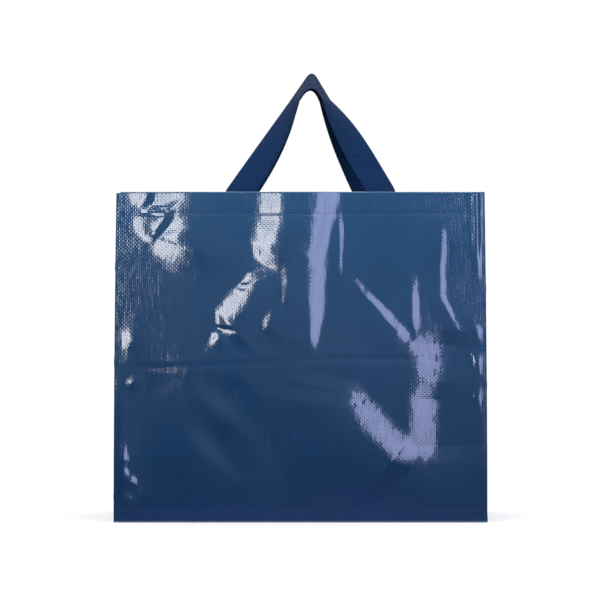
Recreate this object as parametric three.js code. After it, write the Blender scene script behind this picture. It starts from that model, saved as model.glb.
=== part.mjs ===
// A plastic carrier bag of laminated woven polypropylene, its two webbing handles drawn up as on a hook.
// Millimetres, +Z up, front towards -Y. The bag stands on its base, whose middle is the origin.
import * as THREE from "three";
import { mergeVertices } from "three/addons/utils/BufferGeometryUtils.js";

// The bag
const BAG_WIDTH = 450; // over the seam fins
const BAG_HEIGHT = 400; // floor to mouth
const BASE_DEPTH = 200; // over the walls at the base
const MOUTH_DEPTH = 96; // over the walls at the mouth
const WALL_LEAN = 1.7; // above 1, most of the lean comes near the mouth
const SHEET = 0.5; // laminated woven sheet
const LAYER_GAP = 0.3; // air between sewn layers
const SEAM_FIN = 5; // fin outside each upright edge, where wall and gusset are sewn
const HEM = 28; // turned in at the mouth
const HEM_INSET = 3; // the turned-in hem stops this far from the upright seams
const BASE_LAP = 16; // base panel turned up inside the walls
const BASE_ROLL = 3; // roll along the edges of the base panel
const FOLD_FADE = 26; // the folds of a wall fade out over this width along its seams
const FOOT_FADE = 14; // and over this width beside a handle's foot, which is sewn down flat

// The handles
const WEBBING_WIDTH = 32;
const WEBBING_THICKNESS = 1.4;
const HANDLE_RISE = 140; // mouth to the top of the gathered handles
const HOOK_SHIFT = 14; // the handles meet this far right of the bag's middle
const MOUTH_BEND = 13; // length below and above the mouth over which the webbing turns to the slope of its leg
const MOUTH_EASE = 1; // the webbing's bend at the mouth stands off the hem by this much
const HOOK_BEND = 20; // length on each leg over which the webbing goes round the hook
const HOOK_GAP = 1.2; // between the two handles where they meet
const FOOT_INSET = 2; // a handle's foot stops this far above the lower edge of the hem
const FOOT_MARGIN = 5; // flat sheet on each side of a foot

// Each handle: the side that it is sewn to, how far its webbing is turned at the hook, in degrees, and its legs.
// A leg has the middle of its foot, the heights above the mouth between which it turns, and its pivot:
// 1 where the webbing turns about its outer edge, 0 where it turns about its middle.
const HANDLES = [
  {
    name: "front_handle",
    side: -1,
    turn: 45,
    legs: [
      { foot: -73, twist: [10, 34], pivot: 1 },
      { foot: 98, twist: [46, 100], pivot: 0 },
    ],
  },
  {
    name: "back_handle",
    side: 1,
    turn: 60,
    legs: [
      { foot: -73, twist: [10, 34], pivot: 1 },
      { foot: 82, twist: [10, 34], pivot: 0 },
    ],
  },
];

// Soft folds of the walls. Places are shares of the half width and of the height, heights point outwards.
// A fold's steep flank lies on the right of the way from its start to its end, seen from outside.
const FRONT_FOLDS = [
  { from: [0.02, 0.51], to: [0.08, 1.02], steep: 17, gentle: 42, height: 4.2 },
  { from: [-0.09, 1.01], to: [-0.2, 0.79], steep: 27, gentle: 40, height: 5 },
  { from: [-0.2, 0.77], to: [-0.4, 0.57], steep: 25, gentle: 34, height: 5 },
  { from: [-0.6, 1], to: [-0.6, 0.79], steep: 34, gentle: 44, height: 4.5 },
  { from: [0.53, 0.53], to: [0.24, 0.72], steep: 15, gentle: 30, height: 3.4 },
  { from: [0.57, 0.58], to: [0.57, 0.76], steep: 14, gentle: 24, height: 2.6 },
  { from: [0.75, 0.67], to: [0.73, 0.9], steep: 12, gentle: 26, height: 2.4 },
  { from: [0.3, 0.26], to: [0.6, 0.24], steep: 30, gentle: 40, height: 3.6 },
  { from: [0.5, 0.32], to: [0.52, 0.3], steep: 26, gentle: 26, height: -4 },
  { from: [-0.52, 0.43], to: [-0.28, 0.3], steep: 22, gentle: 34, height: -3.2 },
  { from: [-0.55, 0.3], to: [-0.34, 0.17], steep: 22, gentle: 34, height: -2.8 },
  { from: [-0.82, 0.4], to: [-0.82, 0.16], steep: 40, gentle: 40, height: -3.2 },
  { from: [-0.86, 0.47], to: [0.72, 0.494], steep: 9, gentle: 9, height: -1.6 },
];
const BACK_FOLDS = [
  { from: [-0.33, 1.01], to: [-0.5, 0.62], steep: 30, gentle: 44, height: 4.4 },
  { from: [0.36, 1.01], to: [0.48, 0.64], steep: 44, gentle: 30, height: 4.4 },
  { from: [0.02, 0.98], to: [-0.04, 0.56], steep: 34, gentle: 40, height: -3.6 },
  { from: [-0.6, 0.4], to: [-0.2, 0.22], steep: 34, gentle: 40, height: -3.2 },
  { from: [0.7, 0.42], to: [0.36, 0.2], steep: 34, gentle: 40, height: -3 },
  { from: [-0.86, 0.48], to: [0.86, 0.48], steep: 12, gentle: 12, height: -1.6 },
];

// Grid sizes
const FRONT_GRID = { pitch: 14, rows: 26 };
const BACK_GRID = { pitch: 20, rows: 16 };
const GUSSET_STEPS = 6; // columns on each half of a gusset, and rows up to the top of its lower triangle
const GUSSET_ROWS = 9; // rows from there to the hem
const WEBBING_STEPS = 4; // across the webbing
const BEND_STEPS = 7; // along each bend of the webbing
const LEG_STEPS = 8; // along each straight leg

const LAYER = SHEET + LAYER_GAP;
const SEAM_X = BAG_WIDTH / 2 - SEAM_FIN;
const WALL_FOOT = LAYER_GAP;
const FOOT_SEAT = LAYER + SHEET / 2 + LAYER_GAP + WEBBING_THICKNESS / 2;
const { clamp, degToRad, lerp, smoothstep } = THREE.MathUtils;

const laminate = new THREE.MeshStandardMaterial({ color: 0x24496f, roughness: 0.2, metalness: 0 });
const webbing = new THREE.MeshStandardMaterial({ color: 0x27385f, roughness: 0.85, metalness: 0 });

// Evenly spaced values, both ends included.
function spread(first, last, steps) {
  return Array.from({ length: steps + 1 }, (_, i) => lerp(first, last, i / steps));
}

// Thickens a grid of middle points into one closed sheet, mitred where the grid bends.
function sheetGeometry(grid, thickness) {
  const rows = grid.length - 1;
  const columns = grid[0].length - 1;
  const keyOf = (p) => `${p.x.toFixed(4)},${p.y.toFixed(4)},${p.z.toFixed(4)}`;
  const facing = new Map();
  for (let r = 0; r < rows; r++) {
    for (let c = 0; c < columns; c++) {
      const corners = [grid[r][c], grid[r][c + 1], grid[r + 1][c + 1], grid[r + 1][c]];
      const one = corners[2].clone().sub(corners[0]);
      const other = corners[3].clone().sub(corners[1]);
      const normal = one.cross(other);
      if (normal.length() < 1e-6) continue;
      normal.normalize();
      for (const key of new Set(corners.map(keyOf))) {
        if (!facing.has(key)) facing.set(key, []);
        facing.get(key).push(normal);
      }
    }
  }
  const positions = [];
  for (const point of grid.flat()) {
    const normals = facing.get(keyOf(point));
    const middle = normals.reduce((sum, n) => sum.add(n), new THREE.Vector3()).normalize();
    const facingShare = normals.reduce((sum, n) => sum + n.dot(middle), 0) / normals.length;
    const reach = thickness / 2 / Math.max(facingShare, 0.4);
    for (const sign of [1, -1]) positions.push(...point.clone().addScaledVector(middle, sign * reach).toArray());
  }
  const outer = (r, c) => 2 * (r * (columns + 1) + c);
  const inner = (r, c) => outer(r, c) + 1;
  const index = [];
  for (let r = 0; r < rows; r++) {
    for (let c = 0; c < columns; c++) {
      const rising = c >= columns / 2;
      for (const [a, b, d] of rising
        ? [[[0, 0], [0, 1], [1, 0]], [[0, 1], [1, 1], [1, 0]]]
        : [[[0, 0], [0, 1], [1, 1]], [[0, 0], [1, 1], [1, 0]]]) {
        const corners = [a, b, d];
        index.push(...corners.map(([i, j]) => outer(r + i, c + j)));
        index.push(...corners.reverse().map(([i, j]) => inner(r + i, c + j)));
      }
    }
  }
  const upTo = (last) => Array.from({ length: last + 1 }, (_, i) => i);
  const rim = [
    ...upTo(columns).map((c) => [0, c]),
    ...upTo(rows).map((r) => [r, columns]),
    ...upTo(columns).reverse().map((c) => [rows, c]),
    ...upTo(rows).reverse().map((r) => [r, 0]),
  ];
  for (let i = 0; i < rim.length; i++) {
    const here = rim[i];
    const next = rim[(i + 1) % rim.length];
    if (here[0] === next[0] && here[1] === next[1]) continue;
    index.push(outer(...here), inner(...here), inner(...next));
    index.push(outer(...here), inner(...next), outer(...next));
  }
  const loose = new THREE.BufferGeometry();
  loose.setAttribute("position", new THREE.Float32BufferAttribute(positions, 3));
  loose.setIndex(index);
  const geometry = mergeVertices(loose, 1e-4);
  const merged = geometry.index.array;
  const kept = [];
  for (let i = 0; i < merged.length; i += 3) {
    const [a, b, c] = merged.slice(i, i + 3);
    if (a !== b && b !== c && c !== a) kept.push(a, b, c);
  }
  geometry.setIndex(kept);
  geometry.computeVertexNormals();
  return geometry;
}

function sheetMesh(name, grid, thickness, material) {
  const mesh = new THREE.Mesh(sheetGeometry(grid, thickness), material);
  mesh.name = name;
  return mesh;
}

// Half the bag's depth at a height, to the middle of the front or back sheet.
function halfDepth(z) {
  const climb = Math.max(0, z - BASE_LAP) / (BAG_HEIGHT - BASE_LAP);
  return (BASE_DEPTH - SHEET) / 2 - ((BASE_DEPTH - MOUTH_DEPTH) / 2) * climb ** WALL_LEAN;
}

const footHalf = WEBBING_WIDTH / 2 + FOOT_MARGIN;
const feetOf = (side) => HANDLES.find((handle) => handle.side === side).legs.map((leg) => leg.foot);

// How far the folds push a wall outwards at a place on it, before its seams hold it.
function relief(folds, x, z) {
  let sum = 0;
  for (const { from, to, steep, gentle, height } of folds) {
    const start = new THREE.Vector2(from[0] * SEAM_X, from[1] * BAG_HEIGHT);
    const along = new THREE.Vector2(to[0] * SEAM_X, to[1] * BAG_HEIGHT).sub(start);
    const offset = new THREE.Vector2(x, z).sub(start);
    const share = clamp(offset.dot(along) / along.lengthSq(), 0, 1);
    offset.addScaledVector(along, -share);
    const distance = offset.length();
    const rightward = distance > 0 ? -along.cross(offset) / (along.length() * distance) : 0;
    const width = lerp(gentle, steep, 0.5 + 0.5 * rightward);
    sum += height * Math.exp(-((distance / width) ** 2));
  }
  return sum;
}

// The share of the folds that is left near the seams, the base and the sewn feet of the handle.
function freedom(side, x, z) {
  const inFromSeam = smoothstep(SEAM_X - Math.abs(x), 0, FOLD_FADE);
  const upFromBase = smoothstep(z - BASE_LAP, 0, FOLD_FADE);
  const fromFoot = Math.min(...feetOf(side).map((foot) => Math.abs(x - foot))) - footHalf;
  const underHem = smoothstep(BAG_HEIGHT - HEM - z, 0, HEM);
  return inFromSeam * upFromBase * Math.max(underHem, smoothstep(fromFoot, 0, FOOT_FADE));
}

// A point of the front (side -1) or back (side 1) wall, a given depth inside its middle.
// The back wall's folds are laid out as seen from behind.
function wallPoint(side, x, z, inside = 0) {
  const folds = side < 0 ? FRONT_FOLDS : BACK_FOLDS;
  const out = halfDepth(z) + relief(folds, -side * x, z) * freedom(side, x, z) - inside;
  return new THREE.Vector3(x, side * out, z);
}

// A front or back panel: fins at its sides, and its mouth edge turned in as a hem.
function wallPanel(name, side, { pitch, rows }) {
  const stops = [-SEAM_X, ...feetOf(side).flatMap((foot) => [foot - footHalf, foot + footHalf]), SEAM_X];
  const columns = stops.slice(1).flatMap((stop, i) => {
    const steps = Math.max(1, Math.round((stop - stops[i]) / pitch));
    return spread(stops[i], stop, steps).slice(1);
  });
  const across = [-BAG_WIDTH / 2, -SEAM_X, ...columns, BAG_WIDTH / 2];
  const hemHeights = [BAG_HEIGHT, BAG_HEIGHT - HEM / 2, BAG_HEIGHT - HEM];
  const upward = [WALL_FOOT, ...spread(BASE_LAP, BAG_HEIGHT - HEM, rows), ...hemHeights.slice(0, 2).reverse()];
  const hemHalf = SEAM_X - HEM_INSET;
  const grid = [
    ...upward.map((z) => across.map((x) => wallPoint(side, x, z))),
    ...hemHeights.map((z) => across.map((x) => wallPoint(side, clamp(x, -hemHalf, hemHalf), z, LAYER))),
  ];
  return sheetMesh(name, grid, SHEET, laminate);
}

// Gussets: sewn to the walls at their upright edges, and folded in along the middle and a lower triangle.
const gussetHalf = (z) => halfDepth(z) - LAYER;
const gussetFold = (z) => Math.sqrt(Math.max(0, gussetHalf(0) ** 2 - gussetHalf(z) ** 2));
const triangleTop = BASE_LAP + gussetHalf(0);
const triangleLean = gussetFold(triangleTop) / gussetHalf(0);
const gussetSlope = (z) => Math.max(triangleLean, gussetFold(z) / gussetHalf(z));

// A point of a gusset: share runs from -1 at the front seam to 1 at the back seam.
function gussetPoint(side, share, z, inside = 0) {
  const slope = gussetSlope(z);
  const foldedIn = slope * gussetHalf(z) * (1 - Math.abs(share));
  const inward = Math.min(foldedIn, triangleLean * Math.max(0, z - BASE_LAP));
  const mitre = Math.hypot(1, slope);
  const alongDepth = share === 0 ? 0 : (Math.sign(share) * inside * slope) / mitre;
  const alongWidth = share === 0 ? inside * mitre : inside / mitre;
  return new THREE.Vector3(
    side * (SEAM_X - inward - alongWidth),
    share * gussetHalf(z) + alongDepth,
    z,
  );
}

function gussetPanel(name, side) {
  const shares = spread(-1, 1, 2 * GUSSET_STEPS);
  const top = BAG_HEIGHT - 2 * SHEET;
  const hemHeights = [top, top - HEM / 2, top - HEM];
  const upward = [
    WALL_FOOT,
    ...spread(BASE_LAP, triangleTop, GUSSET_STEPS),
    ...spread(triangleTop, top - HEM, GUSSET_ROWS).slice(1),
    ...hemHeights.slice(0, 2).reverse(),
  ];
  const fin = (share, z) => gussetPoint(side, share, z).add(new THREE.Vector3(side * SEAM_FIN, 0, 0));
  const row = (z) => [fin(-1, z), ...shares.map((share) => gussetPoint(side, share, z)), fin(1, z)];
  const hemEnd = 1 - HEM_INSET / gussetHalf(top);
  const hemRow = (z) =>
    [-1, ...shares, 1].map((share) => gussetPoint(side, clamp(share, -hemEnd, hemEnd), z, LAYER));
  return sheetMesh(name, [...upward.map(row), ...hemHeights.map(hemRow)], SHEET, laminate);
}

// The base: a flat panel rolled up at its edges into a low lap inside the four walls.
function basePanel(name) {
  const halfWidth = SEAM_X - LAYER;
  const halfBase = halfDepth(0) - LAYER;
  const levels = [SHEET / 2, BASE_ROLL, BASE_LAP];
  const edge = (half) => [
    { at: half, level: 2 },
    { at: half, level: 1 },
    { at: half - BASE_ROLL, level: 0 },
  ];
  const line = (half) => [...edge(half).map(({ at, level }) => ({ at: -at, level })), ...edge(half).reverse()];
  const grid = line(halfBase).map((y) =>
    line(halfWidth).map((x) => new THREE.Vector3(x.at, y.at, levels[Math.max(x.level, y.level)])),
  );
  return sheetMesh(name, grid, SHEET, laminate);
}

// A handle: two feet sewn flat inside the hem, two legs, and a twist that turns the webbing over the hook.
function handle({ name, side, turn, legs }) {
  const half = WEBBING_WIDTH / 2;
  const fullTurn = degToRad(turn);
  const narrowing = half * (1 - Math.cos(fullTurn));
  const hookY = side * (half * Math.sin(fullTurn) + HOOK_GAP);
  const hookZ = BAG_HEIGHT + HANDLE_RISE - half * Math.cos(fullTurn) + HOOK_BEND / 2;
  const hook = new THREE.Vector3(HOOK_SHIFT, hookY, hookZ);
  const seat = ({ foot, pivot }, i, z, inside) =>
    wallPoint(side, foot, z, inside).add(new THREE.Vector3((i ? 1 : -1) * pivot * narrowing, 0, 0));
  const ends = legs.map((leg, i) => seat(leg, i, BAG_HEIGHT - MOUTH_BEND, FOOT_SEAT));
  const bends = legs.map((leg, i) => seat(leg, i, BAG_HEIGHT, FOOT_SEAT + MOUTH_EASE));
  const forward = hook.clone().sub(bends[0]).cross(hook.clone().sub(bends[1])).normalize();
  const towards = (from, to, length) => from.clone().add(to.clone().sub(from).setLength(length));
  const legStarts = bends.map((bend) => towards(bend, hook, MOUTH_BEND));
  const legEnds = bends.map((bend) => towards(hook, bend, HOOK_BEND));
  const pieces = [
    [new THREE.QuadraticBezierCurve3(ends[0], bends[0], legStarts[0]), BEND_STEPS],
    [new THREE.LineCurve3(legStarts[0], legEnds[0]), LEG_STEPS],
    [new THREE.QuadraticBezierCurve3(legEnds[0], hook, legEnds[1]), 2 * BEND_STEPS],
    [new THREE.LineCurve3(legEnds[1], legStarts[1]), LEG_STEPS],
    [new THREE.QuadraticBezierCurve3(legStarts[1], bends[1], ends[1]), BEND_STEPS],
  ];
  const across = spread(-half, half, WEBBING_STEPS);
  const stations = pieces.flatMap(([curve, steps], i) =>
    spread(0, 1, steps)
      .slice(i === 0 ? 0 : 1)
      .map((t) => ({ point: curve.getPoint(t), tangent: curve.getTangent(t) })),
  );
  const free = stations.map(({ point, tangent }) => {
    const { twist, pivot } = legs[point.x < HOOK_SHIFT ? 0 : 1];
    const turned = fullTurn * smoothstep(point.z - BAG_HEIGHT, ...twist);
    const outward = forward.clone().cross(tangent).normalize();
    const over = tangent.clone().cross(outward);
    const middle = point.addScaledVector(outward, -pivot * (half * Math.cos(turned) - half + narrowing));
    const width = outward.multiplyScalar(Math.cos(turned)).addScaledVector(over, side * Math.sin(turned));
    return across.map((a) => middle.clone().addScaledVector(width, a));
  });
  const footHeights = spread(BAG_HEIGHT - HEM + FOOT_INSET, BAG_HEIGHT - MOUTH_BEND, 2).slice(0, 2);
  const foot = (i) => {
    const outwards = i ? 1 : -1;
    return footHeights.map((z) => across.map((a) => wallPoint(side, legs[i].foot + outwards * a, z, FOOT_SEAT)));
  };
  return sheetMesh(name, [...foot(0), ...free, ...foot(1).reverse()], WEBBING_THICKNESS, webbing);
}

const bag = new THREE.Group();
bag.name = "plastic_carrier_bag";
bag.add(
  wallPanel("front_panel", -1, FRONT_GRID),
  wallPanel("back_panel", 1, BACK_GRID),
  gussetPanel("left_gusset", -1),
  gussetPanel("right_gusset", 1),
  basePanel("base_panel"),
  ...HANDLES.map(handle),
);

export default bag;
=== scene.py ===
"""A plastic carrier bag: glossy laminated woven sheets, webbing handles and sewing, on its frame."""

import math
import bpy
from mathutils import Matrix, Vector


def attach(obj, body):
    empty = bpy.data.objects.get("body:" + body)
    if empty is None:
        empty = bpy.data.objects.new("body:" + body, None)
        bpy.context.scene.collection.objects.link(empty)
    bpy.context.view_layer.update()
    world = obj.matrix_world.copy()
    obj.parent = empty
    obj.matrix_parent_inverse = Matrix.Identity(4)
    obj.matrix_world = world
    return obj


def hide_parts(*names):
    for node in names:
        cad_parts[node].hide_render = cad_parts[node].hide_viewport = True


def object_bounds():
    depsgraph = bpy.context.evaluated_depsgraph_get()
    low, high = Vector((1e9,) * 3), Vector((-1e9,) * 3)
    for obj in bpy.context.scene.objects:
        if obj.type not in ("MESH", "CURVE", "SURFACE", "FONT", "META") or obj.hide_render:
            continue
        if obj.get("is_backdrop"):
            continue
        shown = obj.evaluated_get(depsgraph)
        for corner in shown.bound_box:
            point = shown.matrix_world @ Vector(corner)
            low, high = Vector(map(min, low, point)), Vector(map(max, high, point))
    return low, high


bl_info = {
    "name": "Plastic Carrier Bag",
    "version": (1, 0, 0),
    "blender": (4, 5, 0),
    "location": "3D View > Sidebar > Carrier Bag",
    "description": "Makes the sheets, handles and sewing of a plastic carrier bag, and a small studio for it",
    "category": "Object",
}

import bpy
import numpy as np
from mathutils import Vector

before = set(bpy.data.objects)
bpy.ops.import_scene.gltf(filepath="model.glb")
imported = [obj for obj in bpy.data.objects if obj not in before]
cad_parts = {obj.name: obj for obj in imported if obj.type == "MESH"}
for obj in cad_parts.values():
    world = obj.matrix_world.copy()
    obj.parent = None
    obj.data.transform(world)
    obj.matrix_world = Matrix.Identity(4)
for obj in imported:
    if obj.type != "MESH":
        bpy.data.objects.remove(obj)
CAD_LOW, CAD_HIGH = (list(corner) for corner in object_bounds())

MM = 0.001

# The sheet
SHEET = 0.5 * MM
LAYER_GAP = 0.3 * MM
LAYER = SHEET + LAYER_GAP
WALL_LEAN = 1.7
HEM_INSET = 3 * MM
BASE_ROLL = 3 * MM
SEAM_FADE = 14 * MM
BASE_FADE = 26 * MM
CREASE_FADE = 5 * MM
STORED_CREASE = 193 * MM
CREASE_TILT = 0.03
KINK = 2.2 * MM
KINK_REACH = 75 * MM
KINK_ROUND = 4 * MM
KINK_FADE = 215 * MM
FOOT_INSET = 2 * MM
GUSSET_CREASE = 4 * MM
GUSSET_ROUND = 0.02

# A fin's ragged edge: share of its width, and waves of share, radians a metre and lag
FIN_SHARE = 0.88
FIN_WAVES = ((0.10, 47, 1), (0.08, 113, 2), (0.05, 271, 0))
FIN_CORNER_LOSS = 0.8
FIN_CORNER = 16 * MM

# The handles
MOUTH_BEND = 7 * MM
MOUTH_DROP = 5 * MM
HOOK_BEND_INNER = 20 * MM
HOOK_BEND_OUTER = 13 * MM
HOOK_GAP = 1.2 * MM
TURN_HEIGHT = 115 * MM
TURN_POWER = 1.5
FOOT_SETTLE = 40 * MM
HANDLES = {
    "front_handle": {"side": -1, "turn": 66, "feet": (-0.0785, 0.102), "pivot": (1, 0), "flat": (0.0, 0.035)},
    "back_handle": {"side": 1, "turn": 70, "feet": (-0.0785, 0.0865), "pivot": (1, 0), "flat": (0.0, 0.0)},
}

# Folds of a wall, each a line of stations: x, z, steep width, gentle width and height outwards (mm).
# The steep flank lies on the right of the way from the first station to the last, seen from outside.
FRONT_FOLDS = {
    "tall fold right of the middle": (
        (11, 203, 12, 40, 0.3), (9, 223, 17, 60, 1.9), (7, 254, 26, 70, 2.9),
        (4, 304, 34, 75, 3.3), (13, 353, 30, 75, 2.3), (23, 410, 30, 75, 2.1),
    ),
    "fold beside the left foot": (
        (-19, 410, 44, 75, 4.2), (-19, 363, 44, 75, 4.2), (-27, 341, 43, 60, 4.0),
        (-36, 326, 38, 50, 3.2), (-45, 311, 20, 40, 0.3),
    ),
    "fold under it, falling to the left": (
        (-60, 302, 12, 30, 0.2), (-56, 290, 22, 50, 1.9), (-56, 278, 30, 50, 2.9),
        (-60, 265, 33, 50, 3.2), (-69, 252, 34, 50, 3.2), (-84, 236, 32, 50, 2.9), (-95, 226, 14, 30, 0.3),
    ),
    "crumpled upper left": (
        (-132, 410, 66, 100, 5.0), (-133, 353, 66, 100, 5.0), (-137, 333, 62, 90, 4.3),
        (-146, 311, 46, 70, 1.2), (-152, 299, 34, 50, 0.2),
    ),
    "slanting crease on the right": (
        (127, 215, 12, 30, 0.4), (116, 228, 16, 45, 1.8), (100, 245, 16, 45, 1.8),
        (81, 266, 13, 36, 1.2), (62, 290, 11, 30, 0.7), (54, 299, 10, 25, 0.2),
    ),
    "short upright crease": (
        (137, 228, 9, 20, 0.2), (135, 242, 11, 26, 1.0), (134, 273, 11, 26, 1.0), (134, 297, 10, 20, 0.2),
    ),
    "long upright crease": (
        (189, 232, 7, 15, 0.2), (178, 254, 7, 18, 0.6), (169, 272, 8, 20, 0.7),
        (169, 298, 8, 20, 0.7), (171, 341, 9, 20, 0.5), (171, 359, 8, 20, 0.1),
    ),
    "thin crease beside the tall fold": (
        (46, 283, 6, 15, 0.1), (46, 314, 7, 15, 0.6), (47, 351, 7, 15, 0.6), (46, 377, 6, 15, 0.1),
    ),
    "lower dent, left brow": (
        (128, 58, 30, 80, 0.4), (108, 72, 42, 100, 4.2), (68, 108, 46, 110, 5.0),
        (50, 138, 44, 110, 3.9), (52, 156, 40, 100, 2.0), (56, 172, 30, 80, 0.4),
    ),
    "lower dent, right hollow": (
        (177, 233, 30, 40, -0.4), (176, 214, 48, 55, -2.8), (176, 190, 44, 52, -2.4),
        (172, 168, 40, 50, -1.7), (170, 146, 44, 55, -3.4), (169, 92, 44, 55, -3.4), (170, 71, 30, 40, -0.4),
    ),
    "soft hollow, left": ((-117, 172, 20, 34, -0.4), (-89, 148, 24, 40, -2.2), (-62, 120, 20, 34, -0.4)),
    "soft hollow under it": ((-124, 120, 20, 34, -0.4), (-101, 95, 24, 40, -2.0), (-76, 68, 20, 34, -0.4)),
    "broad hollow, lower left": ((-181, 158, 50, 56, -1.4), (-181, 63, 50, 56, -1.4)),
    "crease from storing it flat": (
        (-193, 186, 7, 7, -0.25), (-104, 189, 7, 7, -0.3), (31, 196, 7, 7, -0.35), (161, 197, 7, 7, -0.3),
    ),
}
FRONT_CREASES = {
    "hem stitch line": ((-216, 374, 3.5, 3.5, -0.3), (216, 374, 3.5, 3.5, -0.3)),
    "notch under the left fold": ((-111, 236, 5, 5, -0.2), (-95, 233, 6, 5, -1.0), (-75, 231, 6, 5, -0.2)),
    "tail under the notch": ((-95, 231, 10, 20, 0.1), (-98, 222, 12, 20, 1.2), (-108, 210, 9, 20, 0.2)),
    "small fold left of the middle": (
        (-32, 259, 8, 20, 0.2), (-33, 247, 14, 30, 1.4), (-37, 235, 14, 28, 1.4), (-44, 225, 10, 20, 0.2),
    ),
    "upright ripple": (
        (-14, 309, 10, 24, 0.2), (-14, 292, 12, 26, 0.9), (-15, 268, 12, 26, 0.8), (-19, 254, 10, 20, 0.2),
    ),
    "upper right edge": ((217, 404, 13, 24, 1.5), (217, 341, 13, 24, 1.4), (217, 302, 10, 18, 0.2)),
    "right edge, small 1": ((206, 240, 6, 9, 0.2), (213, 230, 7, 10, 0.6), (216, 218, 6, 9, 0.2)),
    "right edge, small 2": ((208, 206, 6, 9, 0.2), (214, 194, 7, 10, 0.6), (216, 180, 6, 9, 0.2)),
    "right edge, small 3": ((216, 160, 6, 9, 0.2), (212, 150, 7, 10, 0.5), (216, 138, 6, 9, 0.2)),
    "left edge 1": ((-206, 236, 12, 22, 0.2), (-204, 219, 14, 24, 1.3), (-208, 204, 10, 18, 0.2)),
    "left edge 2": ((-206, 176, 9, 16, 0.2), (-202, 168, 11, 18, 1.2), (-207, 159, 8, 16, 0.2)),
    "left edge 3": ((-214, 52, 8, 14, 0.3), (-215, 76, 11, 14, 1.4), (-216, 102, 8, 14, 0.2)),
    "left edge 4": ((-197, 40, 10, 14, 0.3), (-207, 50, 13, 16, 2.0), (-216, 60, 10, 14, 0.5)),
    "left edge 5": ((-199, 21, 8, 12, 0.2), (-208, 28, 11, 12, 1.5), (-216, 36, 8, 12, 0.4)),
    "crumple, ridge under the mouth": (
        (-184, 412, 28, 12, 1.5), (-189, 393, 28, 12, 1.7), (-198, 380, 22, 10, 0.2),
    ),
    "crumple, ridge under it": (
        (-164, 381, 28, 11, 0.2), (-167, 368, 34, 12, 1.9), (-178, 352, 34, 12, 2.1), (-188, 338, 28, 10, 0.3),
    ),
    "crumple, upper gap": ((-172, 371, 18, 10, 0.1), (-160, 377, 18, 10, 0.6), (-142, 388, 16, 9, 0.1)),
    "crumple, lower gap": (
        (-186, 339, 18, 10, 0.1), (-172, 342, 18, 10, 0.55), (-152, 347, 18, 10, 0.55), (-136, 352, 16, 9, 0.1),
    ),
}
BACK_FOLDS = {
    "left foot": ((-73, 404, 34, 50, 4.0), (-110, 248, 34, 50, 0.6)),
    "right foot": ((79, 404, 50, 34, 4.0), (106, 256, 50, 34, 0.6)),
    "middle hollow": ((4, 392, 44, 54, -3.2), (-9, 224, 44, 54, -0.6)),
    "lower left hollow": ((-132, 160, 40, 50, -0.6), (-88, 124, 44, 54, -3.0), (-44, 88, 40, 50, -0.6)),
    "lower right hollow": ((154, 168, 40, 50, -0.6), (116, 124, 44, 54, -2.8), (79, 80, 40, 50, -0.6)),
    "crease from storing it flat": ((-189, 192, 7, 7, -0.3), (189, 192, 7, 7, -0.3)),
}
BACK_CREASES = {
    "crumple 1": ((-200, 380, 8, 14, 0.4), (-160, 352, 10, 18, 0.9), (-140, 330, 8, 14, 0.2)),
    "crumple 2": ((150, 300, 9, 20, 0.2), (176, 336, 10, 22, 1.0), (196, 380, 8, 18, 0.3)),
}

# Meshes: columns and rows
FRONT_GRID = (226, 196)
BACK_GRID = (180, 150)
GUSSET_GRID = (71, 190)
HEM_ROWS = 14
ROLL_ROWS = 7
WEBBING_COLUMNS = 21


def linear(code):
    """The linear colour of an sRGB hex code: each channel through the sRGB curve."""
    channels = [int(code[i : i + 2], 16) / 255 for i in (1, 3, 5)]
    return tuple(c / 12.92 if c <= 0.04045 else ((c + 0.055) / 1.055) ** 2.4 for c in channels)


def ease(value, low, high):
    """Zero below low, one above high, and a smooth cubic between them."""
    share = np.clip((value - low) / (high - low), 0, 1)
    return share * share * (3 - 2 * share)


def unit(vectors):
    """Vectors divided by their lengths."""
    return vectors / np.linalg.norm(vectors, axis=-1, keepdims=True)


class BagSizes(bpy.types.PropertyGroup):
    """The sizes of the bag that a user would change."""

    width: bpy.props.FloatProperty(
        name="Width", description="Width over the seam fins", default=CAD_HIGH[0] - CAD_LOW[0], unit="LENGTH"
    )
    height: bpy.props.FloatProperty(
        name="Height", description="From the floor to the mouth", default=0.4, unit="LENGTH"
    )
    base_depth: bpy.props.FloatProperty(
        name="Base depth", description="Depth over the walls at the base", default=0.2, unit="LENGTH"
    )
    mouth_depth: bpy.props.FloatProperty(
        name="Mouth depth", description="Depth over the walls at the mouth", default=0.096, unit="LENGTH"
    )
    fin: bpy.props.FloatProperty(
        name="Seam fin", description="Fin outside each upright seam", default=0.005, unit="LENGTH"
    )
    hem: bpy.props.FloatProperty(
        name="Hem", description="Hem turned in at the mouth", default=0.028, unit="LENGTH"
    )
    base_lap: bpy.props.FloatProperty(
        name="Base lap", description="Base sheet turned up inside the walls", default=0.016, unit="LENGTH"
    )
    webbing_width: bpy.props.FloatProperty(
        name="Webbing width", description="Width of the handle webbing", default=0.032, unit="LENGTH"
    )
    webbing_thickness: bpy.props.FloatProperty(
        name="Webbing thickness", description="Thickness of the handle webbing", default=0.0014, unit="LENGTH"
    )
    handle_rise: bpy.props.FloatProperty(
        name="Handle rise",
        description="From the mouth to the top of the gathered handles",
        default=0.1515,
        unit="LENGTH",
    )
    hook_shift: bpy.props.FloatProperty(
        name="Hook shift",
        description="The handles meet this far right of the middle",
        default=0.014,
        unit="LENGTH",
    )
    stitch: bpy.props.FloatProperty(
        name="Stitch", description="Length from one stitch to the next", default=0.005, unit="LENGTH"
    )


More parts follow.
